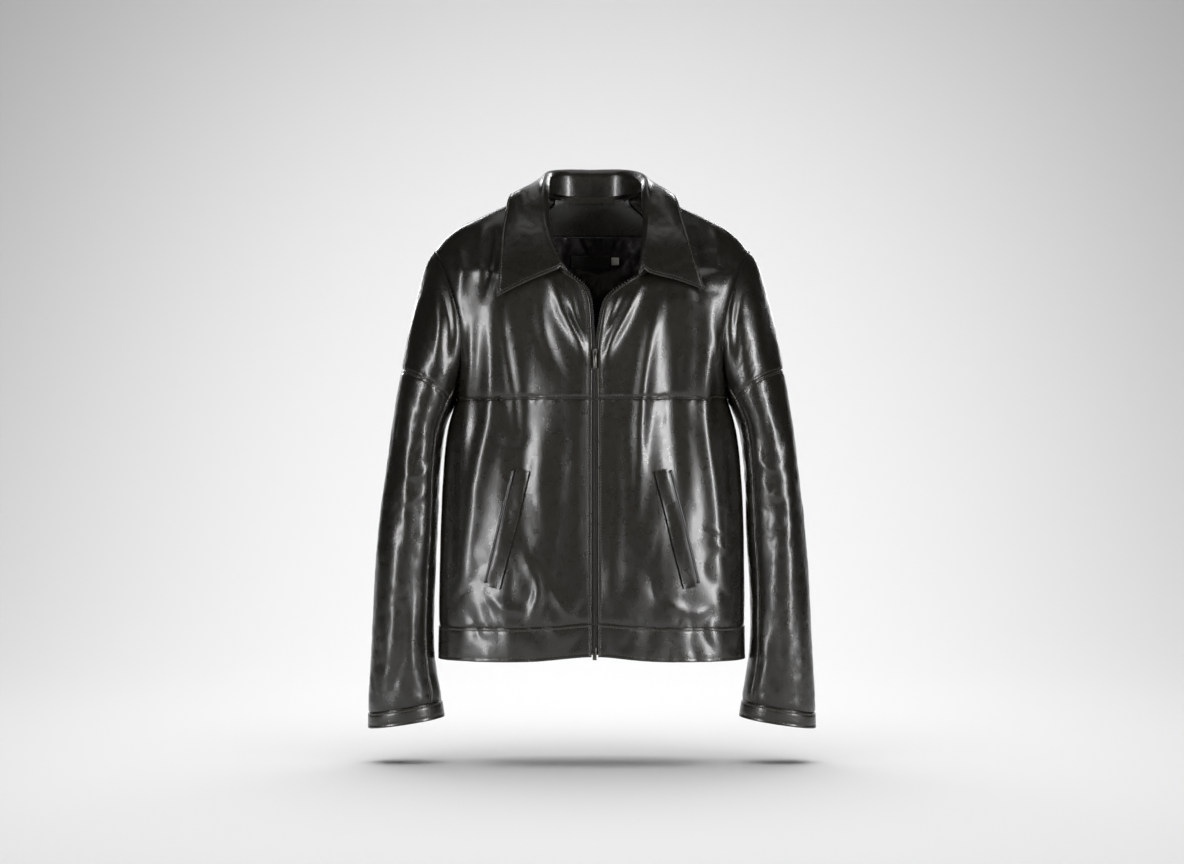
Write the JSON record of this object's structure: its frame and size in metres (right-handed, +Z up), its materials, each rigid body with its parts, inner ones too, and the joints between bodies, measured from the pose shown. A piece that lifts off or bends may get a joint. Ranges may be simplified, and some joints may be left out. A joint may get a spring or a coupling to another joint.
{
  "type": "leather jacket",
  "caption": "Hip-length leather jacket with a fold-down collar, front zip, slanted welt pockets, yokes, waistband, set-in sleeves with cuffs and a satin lining.",
  "frame": {"origin": "middle of the neck opening, level with the high points of the shoulders, where a hanger's neck comes out", "axes": "+Z up, the front faces -Y, the wearer's left is on +X"},
  "size_m": [0.6258, 0.188, 0.7883],
  "materials": {
    "leather": "polished full-grain, near-black olive brown",
    "lining": "black satin with a purple cast",
    "zip_tape": "woven herringbone tape",
    "zip_teeth": "moulded nylon",
    "zip_metal": "worn gunmetal plate",
    "label": "woven",
    "tag": "printed satin tape"
  },
  "bodies": {
    "torso": {"right_front_yoke": "leather", "left_front_yoke": "leather", "right_front_panel": "leather", "left_front_panel": "leather", "right_waistband": "leather", "left_waistband": "leather", "back_yoke": "leather", "back_panel": "leather", "back_waistband": "leather", "upper_collar": "leather", "under_collar": "leather", "right_pocket_welt": "leather", "left_pocket_welt": "leather", "right_front_facing": "leather", "left_front_facing": "leather", "back_neck_facing": "leather", "right_front_lining": "lining", "left_front_lining": "lining", "back_lining": "lining", "right_pocket_bag_front": "lining", "right_pocket_bag_back": "lining", "left_pocket_bag_front": "lining", "left_pocket_bag_back": "lining", "right_zip_tape": "zip_tape", "left_zip_tape": "zip_tape", "right_zip_chain": "zip_teeth", "left_zip_chain": "zip_teeth", "right_zip_top_stop": "zip_metal", "left_zip_top_stop": "zip_metal", "zip_box": "zip_metal", "zip_pin": "zip_metal", "woven_label": "label", "size_tag": "tag"},
    "zip_slider": {"zip_slider": "zip_metal"},
    "zip_pull": {"zip_pull": "zip_metal"},
    "left_sleeve": {"left_sleeve_cap": "leather", "left_outer_sleeve": "leather", "left_under_sleeve": "leather", "left_cuff": "leather", "left_sleeve_lining": "lining"},
    "right_sleeve": {"right_sleeve_cap": "leather", "right_outer_sleeve": "leather", "right_under_sleeve": "leather", "right_cuff": "leather", "right_sleeve_lining": "lining"}
  },
  "joints": [
    {"name": "zip_travel", "type": "slide", "parent": "torso", "child": "zip_slider", "axis": [0, 0, 1], "range_m": [-0.395, 0]},
    {"name": "pull_swing", "type": "hinge", "parent": "zip_slider", "child": "zip_pull", "pos_m": [0.004, -0.0874, -0.2308], "axis": [-1, 0, 0], "range_deg": [0, 150]},
    {"name": "left_sleeve_swing", "type": "hinge", "parent": "torso", "child": "left_sleeve", "pos_m": [0.2197, 0, -0.0905], "axis": [0, -1, 0], "range_deg": [0, 40]},
    {"name": "right_sleeve_swing", "type": "hinge", "parent": "torso", "child": "right_sleeve", "pos_m": [-0.2197, 0, -0.0905], "axis": [0, 1, 0], "range_deg": [0, 40]}
  ]
}
